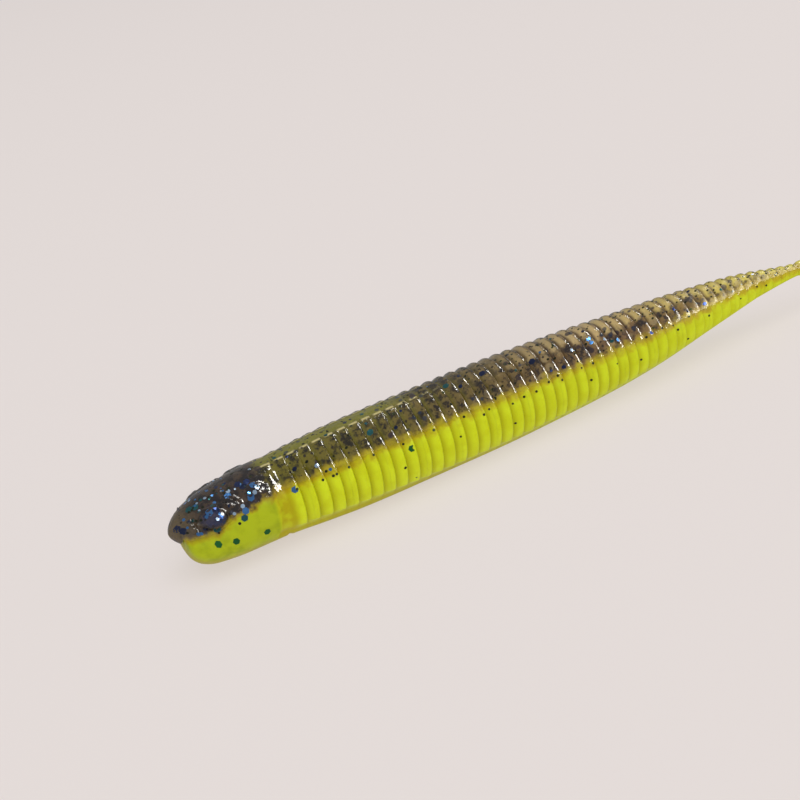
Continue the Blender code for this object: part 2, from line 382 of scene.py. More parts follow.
def body_radius(along, degrees):
    """Radius of the skin behind the gill cover, with its neck, ribs and strip."""
    crest = crest_radius(along, degrees)
    depth = groove_depth(along, degrees)
    lower = degrees + RIB_LONGER * smooth(along, *SHOULDERS)
    share = rib_share(along, degrees) * smooth(lower, *RIB_END) + smooth(-lower, *KEEL)
    ribbed = crest - depth * (1 - np.minimum(share, 1))
    step = NECK_DEPTH * flank_share(degrees)
    neck = crest - step - (depth - step) * smooth(along, FIRST_RIB - NECK_RUN, FIRST_RIB)
    radius = np.where(along < FIRST_RIB, neck, ribbed)
    strip = strip_share(along, degrees)
    return radius * (1 - strip) + (crest_radius(along, degrees) - STRIP_DROP) * strip


def head_radius(along, degrees):
    return crest_radius(along, degrees) + head_relief(along, degrees)


def degrees_of(turn):
    """Degrees above the widest line from the turn round the body, which is in degrees too."""
    wrapped = np.abs((turn + 180) % 360 - 180)
    return 90 - wrapped


def skin_points(along, turn, radius):
    """Places in millimetres. What would pass the floor lies flat on it."""
    angle = np.radians(turn)
    height = centre_height(along) + radius * np.cos(angle)
    side = radius * np.sin(angle)
    return np.stack([along + SNOUT, side, np.maximum(height, 0)], -1)


def skin(along, turn):
    """Point of the outer skin anywhere on the lure."""
    degrees = degrees_of(turn)
    head = along < gill_edge(degrees)
    radius = np.where(head, head_radius(along, degrees), body_radius(along, degrees))
    return skin_points(along, turn, radius)


# Columns of the skin, as shares of the way from the middle of an arc to the seam.
def columns(*runs):
    """Shares from -1 to 1, closer together where a run asks for it."""
    half = [0.0]
    for end, step in runs:
        count = max(1, round((end - half[-1]) / step))
        half += [half[-1] + (end - half[-1]) * (k + 1) / count for k in range(count)]
    half = np.array(half) / half[-1]
    return np.concatenate([-half[:0:-1], half])


BACK_COLUMNS = columns((7, 1.8), (14, 0.8), (61, 2.0))
BELLY_COLUMNS = columns((42, 3.4), (62, 1.3), (119, 2.3))


def seam_turn(along):
    """Turn of the colour seam. Ahead of the mouth the back's colour goes all the way round."""
    if along <= JAW_START - 0.2:
        return 180.0
    return 90.0 - float(seam_degrees(np.array(along)))


def arc_turns(part, seam):
    if part == "back":
        return BACK_COLUMNS * seam
    return 180 + BELLY_COLUMNS * (180 - seam)


def body_rings():
    """Rings behind the gill, each as a function of degrees that gives the distance along."""
    rings = [lambda d, share=share: gill_edge(d) + (FIRST_RIB - gill_edge(d)) * share
             for share in (0, 0.15, 0.32, 0.5, 0.66, 0.82)]
    for rib in range(RIBS):
        start = FIRST_RIB + rib * PITCH

        def place(d, share, behind, start=start):
            reach = rear_reach(groove_depth(start, d))
            return start + share * (PITCH - reach) + behind * reach

        for share in (0, 0.05, 0.12, 0.22, 0.36):
            rings.append(lambda d, share=share, place=place: place(d, share, 0))
        rings.append(lambda d, middle=start + PITCH / 2: middle + 0 * d)
        for share in (0.74, 0.9, 1.0):
            rings.append(lambda d, share=share, place=place: place(d, share, 0))
        for behind in (0.3, 0.55, 0.75, 0.9):
            rings.append(lambda d, behind=behind, place=place: place(d, 1, behind))
    last = FIRST_RIB + RIBS * PITCH
    for step in (0, 0.1, 0.25, 0.45, 0.7):
        rings.append(lambda d, at=last + step: at + 0 * d)
    tip_start = last + 1.0
    for share in np.linspace(0, 1, 26)[:-1]:
        at = tip_start + (LENGTH - tip_start) * (1 - (1 - share) ** 1.35)
        rings.append(lambda d, at=at: at + 0 * d)
    return rings


def head_rings():
    """Rings of the head, close together on the snout. They lean with the gill near it."""
    nose = [JAW_START * (1 - math.cos(math.pi / 2 * k / 12)) for k in range(1, 13)]
    nose[-2] = JAW_START - 0.1
    nose[-3] = JAW_START - 0.2
    rest = list(np.linspace(JAW_START, GILL, 112))[1:]
    return nose + rest


def head_along(ring, degrees):
    return ring + (gill_edge(degrees) - GILL) * smooth(ring, 8, GILL)


def add_attribute(mesh, name, values, kind="FLOAT"):
    layer = mesh.attributes.new(name, kind, "POINT")
    key = "vector" if kind == "FLOAT_VECTOR" else "value"
    layer.data.foreach_set(key, np.asarray(values, np.float32).ravel())


class Patch:
    """Vertices, faces and per-vertex values of one piece while it is being put together."""

    def __init__(self):
        self.points = []
        self.fields = []
        self.faces = []
        self.count = 0

    def add(self, points, along, degrees, rib):
        """Adds a row of vertices and returns their numbers."""
        points = np.asarray(points, float).reshape(-1, 3)
        rows = np.stack(np.broadcast_arrays(along, degrees, rib), -1).reshape(-1, 3)
        if len(rows) == 1:
            rows = np.repeat(rows, len(points), 0)
        self.points.append(points)
        self.fields.append(rows)
        first = self.count
        self.count += len(points)
        return np.arange(first, self.count)

    def strip(self, near, far):
        """Quads between two rows of vertices."""
        for a, b, c, d in zip(near[:-1], near[1:], far[1:], far[:-1]):
            self.faces.append((int(a), int(b), int(c), int(d)))

    def fan(self, row, centre, flip=False):
        for a, b in zip(row[:-1], row[1:]):
            face = (int(a), int(b), int(centre))
            self.faces.append(face[::-1] if flip else face)

    def mesh(self, name):
        points = np.concatenate(self.points)
        fields = np.concatenate(self.fields)
        mesh = bpy.data.meshes.new(name)
        mesh.from_pydata((points * MM).tolist(), [], self.faces)
        add_attribute(mesh, "rest", points, "FLOAT_VECTOR")
        add_attribute(mesh, "along", fields[:, 0])
        add_attribute(mesh, "degrees", fields[:, 1])
        add_attribute(mesh, "rib", fields[:, 2])
        above = fields[:, 1] - seam_degrees(fields[:, 0])
        reach = crest_radius(fields[:, 0], fields[:, 1])
        add_attribute(mesh, "above_seam", above * math.radians(1) * reach)
        tidy = bmesh.new()
        tidy.from_mesh(mesh)
        bmesh.ops.remove_doubles(tidy, verts=tidy.verts, dist=1e-7)
        bmesh.ops.recalc_face_normals(tidy, faces=tidy.faces)
        tidy.to_mesh(mesh)
        tidy.free()
        mesh.shade_smooth()
        mesh.set_sharp_from_angle(angle=math.radians(58))
        return mesh


def add_object(name, mesh, look):
    mesh.materials.append(look)
    made = bpy.data.objects.new(name, mesh)
    bpy.context.scene.collection.objects.link(made)
    return made


def seam_middle(points):
    """The point between the two ends of a row, inside the lure."""
    return (points[0] + points[-1]) / 2


def build_part(rings, first_apex=None, last_apex=None):
    """A closed solid through rings of (along, turn, radius, rib share), each per column.

    The outer skin follows the rings. A flat wall joins the two seam edges inside the lure,
    and the ends are closed with a fan or brought to an apex.
    """
    patch = Patch()
    outer, middles = [], []
    for along, turn, radius, rib in rings:
        points = skin_points(along, turn, radius)
        outer.append(patch.add(points, along, degrees_of(turn), rib))
        middles.append(patch.add(seam_middle(points), along[0], degrees_of(turn[0]), 0.5)[0])
    for near, far, m, n in zip(outer, outer[1:], middles, middles[1:]):
        patch.strip(near, far)
        patch.faces.append((int(near[0]), int(far[0]), int(n), int(m)))
        patch.faces.append((int(m), int(n), int(far[-1]), int(near[-1])))
    ends = ((outer[0], middles[0], first_apex), (outer[-1], middles[-1], last_apex))
    for row, middle, apex in ends:
        if apex is None:
            patch.fan(row, middle)
            continue
        point = patch.add(np.array(apex), apex[0] - SNOUT, 0.0, 1.0)[0]
        patch.fan(row, point)
        patch.faces.append((int(row[0]), int(middle), int(point)))
        patch.faces.append((int(middle), int(row[-1]), int(point)))
    return patch


def ring_row(part, along_of, radius_of, seam_at):
    """One ring's columns: distance along, turn, radius and rib share of each."""
    turn = arc_turns(part, seam_turn(seam_at))
    degrees = degrees_of(turn)
    along = along_of(degrees)
    rib = np.where(along < FIRST_RIB, 0.75, rib_share(along, degrees))
    strip = strip_share(along, degrees)
    return along, turn, radius_of(along, degrees), rib * (1 - strip) + strip


def head_part(part):
    rings = []
    for ring in head_rings():
        if part == "belly" and ring < JAW_START:
            continue
        rings.append(ring_row(part, lambda d, ring=ring: head_along(ring, d), head_radius, ring))
    inner = ring_row(part, gill_edge, body_radius, GILL)
    apex = None
    if part == "back":
        apex = (SNOUT, 0.0, float(centre_height(np.array(0.0))))
    return build_part(rings + [inner], first_apex=apex)


def body_part(rows, is_tip):
    apex = None
    if is_tip:
        apex = (SNOUT + LENGTH, 0.0, float(centre_height(np.array(LENGTH))))
    return build_part(rows, last_apex=apex)


def section_name(index):
    """A person's name for the section that crosses hinge number index."""
    if index == 0:
        return "neck"
    first = RIBS_PER_BLOCK * index - 1
    return f"ribs_{first:02d}_to_{first + RIBS_PER_BLOCK:02d}"


def sections():
    """Name, bodies and distances along of every part of the skin behind the gill."""
    found = []
    for index, joint in enumerate(JOINTS):
        start = HINGES[index] - BLOCK / 2 if index else GILL + GILL_TOP_LEAN
        end = HINGES[max(index, 1)] + (BLOCK / 2 if index else -BLOCK / 2)
        found.append((section_name(index), (joint["parent"], joint["child"]), start, end))
    tail = JOINTS[-1]["child"]
    found.append(("tail_tip", (tail,), found[-1][3], LENGTH))
    return found


def blend_section(piece, bodies):
    """Parents a piece that lies on one body to that body; a piece across a hinge keeps its
    place, its transform baked into its mesh.
    """
    if len(bodies) == 1:
        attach(piece, bodies[0])
        return
    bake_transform(piece)


def skin_rows(part):
    """All the rings behind the gill with the distance along of their middle column."""
    rows = []
    for ring in body_rings():
        seam_at = float(ring(np.array(28.0)))
        rows.append((seam_at, ring_row(part, ring, body_radius, seam_at)))
    return rows


def section_rows(rows, start, end, is_first):
    near = [row for at, row in rows if start - 1e-6 <= at <= end + 1e-6]
    if is_first:
        near = [row for at, row in rows if at <= end + 1e-6]
    return near


# ---------------------------------------------------------------- materials


def linear(red, green, blue):
    """A colour for a shader from the 0 to 255 values it has on a screen."""
    levels = np.array([red, green, blue]) / 255
    low = levels / 12.92
    high = ((levels + 0.055) / 1.055) ** 2.4
    return (*np.where(levels <= 0.04045, low, high).tolist(), 1.0)


class Nodes:
    """Short names for building a material's node tree."""

    def __init__(self, name):
        self.material = bpy.data.materials.new(name)
        self.material.use_nodes = True
        self.tree = self.material.node_tree
        self.shader = self.tree.nodes["Principled BSDF"]

    def put(self, socket, value):
        if isinstance(value, bpy.types.NodeSocket):
            self.tree.links.new(value, socket)
        elif isinstance(value, tuple) and len(value) == 3 and socket.type == "RGBA":
            socket.default_value = (*value, 1.0)
        else:
            socket.default_value = value

    def attribute(self, name, vector=False):
        node = self.tree.nodes.new("ShaderNodeAttribute")
        node.attribute_name = name
        return node.outputs["Vector" if vector else "Fac"]

    def math(self, operation, *values, clamp=False):
        node = self.tree.nodes.new("ShaderNodeMath")
        node.operation = operation
        node.use_clamp = clamp
        for socket, value in zip(node.inputs, values):
            self.put(socket, value)
        return node.outputs[0]

    def add(self, a, b):
        return self.math("ADD", a, b)

    def times(self, a, b):
        return self.math("MULTIPLY", a, b)

    def ramp(self, value, low, high, out_low=0.0, out_high=1.0):
        """An even S from one value to another."""
        node = self.tree.nodes.new("ShaderNodeMapRange")
        node.interpolation_type = "SMOOTHSTEP"
        for key, given in zip((0, 1, 2, 3, 4), (value, low, high, out_low, out_high)):
            self.put(node.inputs[key], given)
        return node.outputs[0]

    def shades(self, value, *stops):
        """Colours that change smoothly with a value, given as (value, colour) pairs."""
        node = self.tree.nodes.new("ShaderNodeValToRGB")
        low, high = stops[0][0], stops[-1][0]
        for index, (at, colour) in enumerate(stops):
            place = (at - low) / (high - low)
            elements = node.color_ramp.elements
            stop = elements[index] if index < 2 else elements.new(place)
            stop.position = place
            stop.color = colour
        share = self.math("DIVIDE", self.add(value, -low), high - low, clamp=True)
        self.put(node.inputs[0], share)
        return node.outputs[0]

    def noise(self, place, scale, detail=2.0, roughness=0.5):
        node = self.tree.nodes.new("ShaderNodeTexNoise")
        self.put(node.inputs["Vector"], place)
        self.put(node.inputs["Scale"], scale)
        self.put(node.inputs["Detail"], detail)
        self.put(node.inputs["Roughness"], roughness)
        return node.outputs["Fac"]

    def cells(self, place, scale, randomness=1.0):
        """Distance to the nearest point of scattered points, and that point's colour."""
        node = self.tree.nodes.new("ShaderNodeTexVoronoi")
        self.put(node.inputs["Vector"], place)
        self.put(node.inputs["Scale"], scale)
        self.put(node.inputs["Randomness"], randomness)
        return node.outputs["Distance"], node.outputs["Color"]

    def channel(self, colour, index):
        node = self.tree.nodes.new("ShaderNodeSeparateColor")
        self.put(node.inputs[0], colour)
        return node.outputs[index]

    def mix(self, share, first, second, mode="MIX"):
        node = self.tree.nodes.new("ShaderNodeMix")
        node.data_type = "RGBA"
        node.blend_type = mode
        self.put(node.inputs["Factor"], share)
        self.put(node.inputs[6], first)
        self.put(node.inputs[7], second)
        return node.outputs[2]

    def bump(self, height, distance, strength=1.0):
        node = self.tree.nodes.new("ShaderNodeBump")
        self.put(node.inputs["Height"], height)
        self.put(node.inputs["Distance"], distance)
        self.put(node.inputs["Strength"], strength)
        return node.outputs["Normal"]


# The colours of both pours. The lists are (distance along, colour) pairs.
BELLY_DULL = linear(200, 210, 18)
BELLY_BRIGHT = linear(208, 222, 30)
BELLY_CHEEK = linear(138, 156, 18)
# painted shade: the darker colour put in the belly's rib grooves
BELLY_GROOVE_SHADE = linear(178, 178, 0)
# painted shade on the underside below the ribs
BELLY_UNDER_SHADE = linear(176, 166, 10)
# the neck's amber tint, darkened with painted shade for its recess behind the gill cover
BELLY_NECK_AMBER_AND_SHADE = linear(178, 166, 0)
SEAM_FRINGE = linear(180, 134, 0)
BACK_DEEP = (
    (14, linear(34, 30, 6)), (40, linear(34, 26, 20)), (62, linear(44, 34, 34)),
    (74, linear(58, 50, 44)), (84, linear(112, 96, 30)), (95, linear(190, 176, 16)),
)
BACK_MIDDLE = (
    (14, linear(108, 100, 22)), (40, linear(112, 94, 50)), (62, linear(126, 98, 66)),
    (74, linear(150, 122, 54)), (84, linear(192, 168, 26)), (95, linear(216, 206, 50)),
)
BACK_PALE = (
    (34, linear(150, 134, 84)), (58, linear(206, 180, 126)), (74, linear(210, 188, 100)),
    (84, linear(216, 200, 60)), (95, linear(220, 210, 60)),
)
HOLLOW_FRONT = linear(112, 106, 26)
HOLLOW_REAR = linear(92, 70, 40)
STRIP_GREEN = linear(136, 134, 26)
# painted highlight: the pale dashes on the ribs' ends beside the strip
STRIP_DASH_HIGHLIGHT = linear(232, 218, 150)
HEAD_DARK = linear(28, 22, 24)
HEAD_BROWN = linear(68, 54, 42)
SNOUT_PALE = linear(112, 98, 70)
EYE_BLUE = linear(34, 48, 92)

# The specks sunk in the plastic: radius, scatter scale, chance, colour, and strength in the
# back. The first kind is only in the rear of the body.
PALE_SPECKS = (0.7, 0.55, 0.3, linear(176, 156, 112), 0.6)
DARK_SPECKS = (
    (0.5, 0.62, 0.34, linear(46, 34, 42), 0.85),
    (0.34, 0.9, 0.2, linear(30, 44, 66), 0.75),
    (0.2, 1.25, 0.45, linear(32, 22, 18), 0.85),
    (0.11, 1.9, 0.35, linear(26, 20, 18), 0.8),
)


def belly_colour(n, place, rib, degrees, along):
    """Chartreuse: darker on the cheek, with painted shade in the grooves and on the underside,
    and amber with painted shade in the recessed neck.
    """
    mottle = n.noise(place, 0.55, 3.0)
    colour = n.mix(n.ramp(mottle, 0.35, 0.65), BELLY_DULL, BELLY_BRIGHT)
    cheek = n.times(n.ramp(along, 11.4, 12.2, 1.0, 0.0), n.ramp(mottle, 0.25, 0.6, 1.0, 0.55))
    colour = n.mix(cheek, colour, BELLY_CHEEK)
    # Painted shade in the grooves, darkest at each groove and weaker toward the tail.
    ribbed = n.ramp(along, 55, 78, 0.85, 0.3)
    colour = n.mix(n.times(n.ramp(rib, 0.1, 0.95, 1.0, 0.0), ribbed), colour, BELLY_GROOVE_SHADE)
    # Painted shade on the underside below the ribs' lower ends, weaker toward the tail.
    low = n.add(degrees, n.ramp(along, *SHOULDERS, 0.0, RIB_LONGER))
    under = n.times(n.ramp(low, -50, -34, 0.85, 0.0), n.ramp(along, 32, 60, 1.0, 0.25))
    colour = n.mix(under, colour, BELLY_UNDER_SHADE)
    # The neck behind the gill cover: an amber tint with painted shade in the recess, fading
    # toward the first rib.
    neck = n.times(n.ramp(along, 11.6, 12.2), n.ramp(along, 13.2, 14.6, 1.0, 0.0))
    neck = n.times(neck, n.ramp(n.noise(place, 1.2, 3.0), 0.35, 0.65, 0.95, 0.45))
    return n.mix(neck, colour, BELLY_NECK_AMBER_AND_SHADE)


def pale_face(n, patches, rib, degrees, along):
    """How pale a rib's face is: the high middle faces of the rear ribs, with a patchy edge."""
    face = n.times(n.ramp(rib, 0.12, 0.5), n.ramp(rib, 0.8, 1.0, 1.0, 0.2))
    height = n.add(degrees, n.times(n.add(patches, -0.5), 60))
    face = n.times(n.times(face, n.ramp(along, 34, 56)), n.ramp(height, 54, 68))
    return n.times(face, 0.9)


def strip_colour(n, body, rib, degrees, along):
    """The greener smooth strip, and painted highlight dashes on the ribs' ends beside it."""
    strip = n.times(n.ramp(degrees, 77, 81), n.ramp(along, 28, 34, 1.0, 0.0))
    body = n.mix(n.times(strip, 0.8), body, STRIP_GREEN)
    # Painted highlight dashes on each rib's end beside the strip, only toward the front of the
    # body.
    edge = n.times(n.ramp(degrees, 74.5, 76.5), n.ramp(degrees, 78, 80, 1.0, 0.0))
    edge = n.times(n.times(edge, n.ramp(rib, 0.3, 0.6)), n.ramp(along, 30, 38, 0.75, 0.0))
    return n.mix(edge, body, STRIP_DASH_HIGHLIGHT)


def head_colour(n, mottle, degrees, along):
    """Nearly black, with a paler snout and blue in the eye."""
    head = n.mix(mottle, HEAD_DARK, HEAD_BROWN)
    head = n.mix(n.ramp(along, 0.8, 4, 0.55, 0.0), head, SNOUT_PALE)
    in_eye = n.ramp(eye_ring(n, along, degrees), 0.5, 1.0, 0.5, 0.0)
    return n.mix(in_eye, head, EYE_BLUE)


def back_colour(n, place, rib, degrees, along):
    """Brown-olive, nearly black on the head, and lighter and yellower in the thin tail."""
    fine = n.ramp(n.noise(place, 1.1, 4.0, 0.7), 0.38, 0.62)
    patches = n.noise(place, 0.42, 3.0, 0.6)
    mottle = n.ramp(n.add(n.times(fine, 0.5), patches), 0.46, 1.0)
    body = n.mix(mottle, n.shades(along, *BACK_DEEP), n.shades(along, *BACK_MIDDLE))
    pale = pale_face(n, patches, rib, degrees, along)
    body = n.mix(pale, body, n.shades(along, *BACK_PALE))
    hollow = n.mix(n.ramp(along, 30, 52), HOLLOW_FRONT, HOLLOW_REAR)
    body = n.mix(n.ramp(rib, 0.05, 0.6, 0.7, 0.0), body, hollow)
    body = strip_colour(n, body, rib, degrees, along)
    head = head_colour(n, mottle, degrees, along)
    return n.mix(n.ramp(along, 11.0, 12.6, 1.0, 0.0), body, head)


def eye_ring(n, along, degrees):
    """0 in the middle of the eye and 1 on its outline."""
    forward = n.math("DIVIDE", n.add(along, -EYE[0]), EYE_HALF[0])
    degree = math.radians(1) * float(nose_radius(EYE[0])) / EYE_HALF[1]
    up = n.times(n.add(degrees, -EYE[1]), degree)
    return n.math("SQRT", n.add(n.times(forward, forward), n.times(up, up)))


def scatter(n, colour, place, size, scale, chance, shade, strength=1.0):
    """Specks of one size sunk in the plastic: some of the points of a scatter, as dots."""
    distance, tone = n.cells(place, scale)
    near = n.ramp(distance, size * scale * 0.7, size * scale, 1.0, 0.0)
    picked = n.math("LESS_THAN", n.channel(tone, 0), chance)
    return n.mix(n.times(n.times(near, picked), strength), colour, shade)


def specks(n, colour, place, above, along):
    """The specks deep in the back. They fade below the seam and in the thin tail."""
    depth = n.times(n.ramp(above, 0.0, 1.0), n.ramp(along, 74, 90, 1.0, 0.6))
    size, scale, chance, shade, strength = PALE_SPECKS
    pale = n.times(n.ramp(along, 24, 60), n.times(depth, strength))
    colour = scatter(n, colour, place, size, scale, chance, shade, pale)
    for size, scale, chance, shade, strength in DARK_SPECKS:
        strong = n.times(depth, strength)
        colour = scatter(n, colour, place, size, scale, chance, shade, strong)
    return colour


def laminate_colour(n, place, above, along):
    """Both pours' colours, which run into each other across the wandering seam."""
    degrees = n.attribute("degrees")
    rib = n.attribute("rib")
    colour = n.mix(
        n.ramp(above, -0.75, 0.95),
        belly_colour(n, place, rib, degrees, along),
        back_colour(n, place, rib, degrees, along),
    )
    fringe = n.times(n.ramp(above, -1.1, -0.2), n.ramp(above, 0.0, 1.1, 1.0, 0.0))
    fringe = n.times(fringe, n.ramp(along, 55, 75, 0.4, 0.55))
    return n.mix(fringe, colour, SEAM_FRINGE)


# What differs in the surface of the two pours: the back is glossier and more dented.
SURFACES = {
    "back": {
        "dents": 0.00009, "rough": (0.1, 0.2), "specular": 0.75, "coat": 0.05, "soft": 0.15,
    },
    "belly": {
        "dents": 0.00003, "rough": (0.32, 0.42), "specular": 0.2, "coat": 0.15, "soft": 0.4,
    },
}


def laminate(part):
    """The skin of either pour: the same colours across the diffuse seam, its own gloss."""
    n = Nodes(f"{part}_pour")
    surface = SURFACES[part]
    place = n.attribute("rest", vector=True)
    along = n.attribute("along")
    above = n.attribute("above_seam")
    wander = n.times(n.add(n.noise(place, 0.9, 3.0), -0.5), n.ramp(along, 1, 9, 0.5, 2.4))
    above = n.times(n.add(above, wander), n.ramp(along, 9, 14, 2.0, 1.0))
    colour = laminate_colour(n, place, above, along)
    n.put(n.shader.inputs["Base Color"], specks(n, colour, place, above, along))
    dents = n.bump(n.noise(place, 1.9, 2.0), surface["dents"])
    n.put(n.shader.inputs["Normal"], dents)
    smear = n.ramp(n.noise(place, 1.5, 2.0), 0.3, 0.7, *surface["rough"])
    duller_tail = n.ramp(along, 64, 80, 0.0, 0.4)
    n.put(n.shader.inputs["Roughness"], n.add(smear, duller_tail))
    n.put(n.shader.inputs["IOR"], 1.48)
    n.put(n.shader.inputs["Specular IOR Level"], surface["specular"])
    n.put(n.shader.inputs["Coat Weight"], surface["coat"])
    n.put(n.shader.inputs["Coat Roughness"], 0.14)
    n.put(n.shader.inputs["Subsurface Weight"], surface["soft"])
    n.put(n.shader.inputs["Subsurface Scale"], 0.0005)
    n.put(n.shader.inputs["Subsurface Radius"], (1.0, 0.9, 0.2))
    return n.material


def glitter(name, rough):
    """Metal flakes under the gloss of the plastic. Each flake has its own colour and tilt."""
    n = Nodes(name)
    n.put(n.shader.inputs["Base Color"], n.attribute("tone", vector=True))
    geometry = n.tree.nodes.new("ShaderNodeNewGeometry")
    tilted = n.tree.nodes.new("ShaderNodeVectorMath")
    n.put(tilted.inputs[0], geometry.outputs["Normal"])
    n.put(tilted.inputs[1], n.attribute("tilt", vector=True))
    n.put(n.shader.inputs["Normal"], tilted.outputs[0])
    n.put(n.shader.inputs["Metallic"], 0.9)
    n.put(n.shader.inputs["Roughness"], rough)
    n.put(n.shader.inputs["Coat Weight"], 0.6)
    n.put(n.shader.inputs["Coat Roughness"], 0.08)
    return n.material


# ---------------------------------------------------------------- the stage

CAMERA_PLACE = Vector((-0.0726, -0.135, 0.07625))
CAMERA_BACK = Vector((-0.338, -0.846, 0.4125))
CAMERA_RIGHT = Vector((0.869, -0.449, -0.209))
CAMERA_LENS = 59.85
CAMERA_SENSOR = 36
FLOOR_GLOW = 0.72  # a softly lit floor, which keeps the shadows on it faint
FLOOR_HALF = 2.0
FLOOR_DROP = 0.00002  # keeps the floor's face apart from the flat belly's
WORLD_STRENGTH = 0.36
LIGHT_COLOUR = (1.0, 0.98, 0.93)

# Each light's place, target, size, power, and whether it shows in gloss and lights matt faces.
LIGHTS = {
    "overhead": ((0.1, -0.5, 1.4), (0, 0, 0), (1.8, 1.8), 10.6, False, True),
    "front_fill": ((-0.4, -1.3, 0.35), (0, 0, 0), (1.2, 0.6), 6.0, False, True),
    "streaks": ((0.19, -0.27, 0.30), (0, 0, 0.005), (0.20, 0.16), 3.0, True, False),
    "upper_streaks": ((0.20, 0.14, 0.40), (0, 0, 0.01), (0.10, 0.07), 1.0, True, False),
}


def add_camera():
    data = bpy.data.cameras.new("camera")
    data.sensor_width = CAMERA_SENSOR
    data.lens = CAMERA_LENS
    data.clip_start = 0.001
    data.clip_end = 10
    back = CAMERA_BACK.normalized()
    right = (CAMERA_RIGHT - back * CAMERA_RIGHT.dot(back)).normalized()
    up = back.cross(right)
    camera = bpy.data.objects.new("camera", data)
    facing = Matrix((right, up, back)).transposed().to_4x4()
    camera.matrix_world = Matrix.Translation(CAMERA_PLACE) @ facing
    bpy.context.scene.collection.objects.link(camera)
    bpy.context.scene.camera = camera


def add_floor():
    mesh = bpy.data.meshes.new("floor")
    half = FLOOR_HALF
    corners = [(-half, -half, 0), (half, -half, 0), (half, half, 0), (-half, half, 0)]
    mesh.from_pydata(corners, [], [(0, 1, 2, 3)])
    n = Nodes("floor_paper")
    n.put(n.shader.inputs["Base Color"], linear(150, 145, 143))
    n.put(n.shader.inputs["Roughness"], 0.95)
    n.put(n.shader.inputs["Specular IOR Level"], 0.0)
    n.put(n.shader.inputs["Emission Color"], linear(226, 218, 216))
    n.put(n.shader.inputs["Emission Strength"], FLOOR_GLOW)
    floor = add_object("floor", mesh, n.material)
    floor.location.z = -FLOOR_DROP
    floor.visible_glossy = False


def add_light(name, place, target, size, power, glossy, diffuse):
    data = bpy.data.lights.new(name, "AREA")
    data.shape = "RECTANGLE"
    data.size, data.size_y = size
    data.energy = power
    data.color = LIGHT_COLOUR
    light = bpy.data.objects.new(name, data)
    light.location = place
    aim = Vector(target) - Vector(place)
    light.rotation_mode = "QUATERNION"
    light.rotation_quaternion = aim.to_track_quat("-Z", "Y")
    light.visible_diffuse = diffuse
    light.visible_glossy = glossy
    bpy.context.scene.collection.objects.link(light)


def add_world():
    world = bpy.data.worlds.new("studio")
    world.use_nodes = True
    sky = world.node_tree.nodes["Background"]
    sky.inputs["Color"].default_value = (1.0, 0.985, 0.98, 1)
    sky.inputs["Strength"].default_value = WORLD_STRENGTH
    bpy.context.scene.world = world


def add_stage():
    add_floor()
    add_camera()
    add_world()
    for name, light in LIGHTS.items():
        add_light(name, *light)
    bpy.context.scene.view_settings.view_transform = "Standard"


# ---------------------------------------------------------------- the lure

FLAKE_RADIUS = 0.45
PEPPER_RADIUS = 0.17
FLAKE_TOP = 0.015  # how far a flake's face stands above the skin,
FLAKE_SUNK = 0.04  # and how far its back is sunk in it
TONES = {
    "silver": linear(178, 204, 230)[:3],
    "blue": linear(70, 124, 186)[:3],
    "deep": linear(30, 44, 84)[:3],
    "teal": linear(40, 100, 104)[:3],
    "green": linear(34, 112, 50)[:3],
    "pepper": linear(34, 40, 14)[:3],
}

# Large flakes that stand out, as (along, degrees, tone). They lie on the left side.
LARGE_FLAKES = (
    (8.3, 32, "silver"), (8.4, 24, "blue"), (7.3, 56, "blue"), (7.6, 63, "silver"),
    (10.6, 47, "silver"), (10.3, 53, "blue"), (10.1, 42, "silver"), (9.5, 38, "blue"),
    (9.25, 58, "deep"), (3.9, 38, "deep"), (4.6, 41, "blue"), (5.4, 40, "deep"),
    (5.6, 25, "deep"), (8.9, 66, "deep"), (9.9, 63, "deep"),
    (8.0, 15, "teal"), (2.9, 70, "teal"), (3.6, 66, "teal"), (4.75, 10, "teal"),
    (0.9, 38, "deep"), (1.4, 22, "deep"), (6.3, -15, "green"), (10, -18, "green"),
    (4.3, -13, "green"), (14.8, 24.6, "blue"), (18.3, 42, "silver"), (29.3, 14.6, "green"),
    (54.5, 52, "silver"), (57, 52, "blue"), (59.2, 49, "silver"), (61, 40, "blue"),
    (65.6, 29, "deep"), (72.3, 36, "deep"), (75, 35, "deep"), (25.4, 55, "teal"),
    (37, 76, "teal"), (41.5, 72, "deep"), (48, 60, "deep"),
)
SMALL_FLAKES = (
    (17.9, 22), (19.7, 22), (21.3, 24), (24.8, 26), (36.9, 25), (45.2, 18), (47, 18),
    (49, 23), (50.5, 26), (67.2, 28), (71.8, 25), (62.9, -7), (75, 5), (71.2, -22), (86, 0),
)
RANDOM_LARGE = 60
RANDOM_SMALL = 420
HEAD_SPARKLES = 60
FRONT_CLEAR = 0.12  # a flake keeps clear of the groove ahead of its rib
REAR_CLEAR = 0.22  # and of the rounded edge behind it
PEPPER_SPAN = (1.5, 92)  # the distances along that have flakes of each kind
GLITTER_SPAN = (1.5, 86)
SPARKLE_SPAN = (1.5, 11.5)
PEPPER_TURN = 140  # the farthest round from the middle of the back, in degrees
GLITTER_TURN = 130
FAR_SHARE = 0.07  # the share of the pepper that is scattered round to the belly too
FAR_SPREAD = 75.0
LARGE_SEED = 11
SMALL_SEED = 23
FLAKE_TILT = 0.16
BODY_TONES = ["blue", "deep", "deep", "deep", "teal", "teal"]
HEAD_TONES = ["silver", "silver", "blue", "blue", "deep", "teal"]


